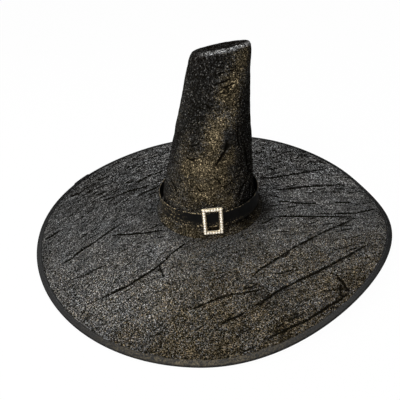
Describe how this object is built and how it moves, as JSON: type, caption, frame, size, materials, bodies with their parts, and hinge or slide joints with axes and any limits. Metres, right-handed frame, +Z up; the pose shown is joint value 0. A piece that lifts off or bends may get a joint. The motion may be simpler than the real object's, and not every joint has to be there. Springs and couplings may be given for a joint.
{
  "type": "witch hat",
  "caption": "Costume witch hat with a tall flat-topped leaning crown, a wide curling bound brim, a lift-off ribbon band and a stone-set slider buckle.",
  "frame": {"origin": "on the table the hat rests on, under the middle of the brim", "axes": "+Z up, -Y to the front with the buckle, +X to the side the crown leans to"},
  "size_m": [0.654, 0.654, 0.3187],
  "materials": {
    "glitter_cloth": "crinkled glitter cloth",
    "glitter_brim": "crinkled glitter cloth",
    "under_cloth": "plain matt cloth",
    "crown_felt": "stiff felt",
    "brim_felt": "stiff felt",
    "black_lining": "satin lining",
    "grosgrain": "ribbed grosgrain",
    "satin_tape": "satin bias tape",
    "spring_wire": "drawn wire",
    "crimp_brass": "crimped tube",
    "black_ribbon": "smooth ribbon",
    "champagne_metal": "polished champagne plating",
    "bar_metal": "plated, plain",
    "crystal": "cut clear stone"
  },
  "bodies": {
    "hat": {"crown_cover": "glitter_cloth", "crown_stiffener": "crown_felt", "crown_lining": "black_lining", "tip_cover": "glitter_cloth", "tip_stiffener": "crown_felt", "tip_lining": "black_lining", "sweatband": "grosgrain", "brim_top_cover": "glitter_brim", "brim_stiffener": "brim_felt", "brim_under_cover": "under_cloth", "brim_wire": "spring_wire", "wire_sleeve": "crimp_brass", "brim_binding": "satin_tape"},
    "band": {"ribbon": "black_ribbon"},
    "buckle": {"buckle_frame": "champagne_metal", "buckle_bar": "bar_metal", "stone_01": "crystal", "stone_02": "crystal", "stone_03": "crystal", "stone_04": "crystal", "stone_05": "crystal", "stone_06": "crystal", "stone_07": "crystal", "stone_08": "crystal", "stone_09": "crystal", "stone_10": "crystal", "stone_11": "crystal", "stone_12": "crystal", "stone_13": "crystal", "stone_14": "crystal", "stone_15": "crystal", "stone_16": "crystal", "stone_17": "crystal", "stone_18": "crystal", "stone_19": "crystal", "stone_20": "crystal", "stone_21": "crystal", "stone_22": "crystal", "stone_23": "crystal", "stone_24": "crystal", "stone_25": "crystal", "stone_26": "crystal", "stone_27": "crystal", "stone_28": "crystal", "stone_29": "crystal", "stone_30": "crystal"}
  },
  "joints": [
    {"name": "band_lift", "type": "slide", "parent": "hat", "child": "band", "axis": [0, 0, 1], "range_m": [0, 0.31]},
    {"name": "buckle_slide", "type": "hinge", "parent": "band", "child": "buckle", "pos_m": [0.004, 0, 0.04785], "axis": [-0.0011, 0.061, 0.9981], "range_deg": [-40, 40]}
  ]
}
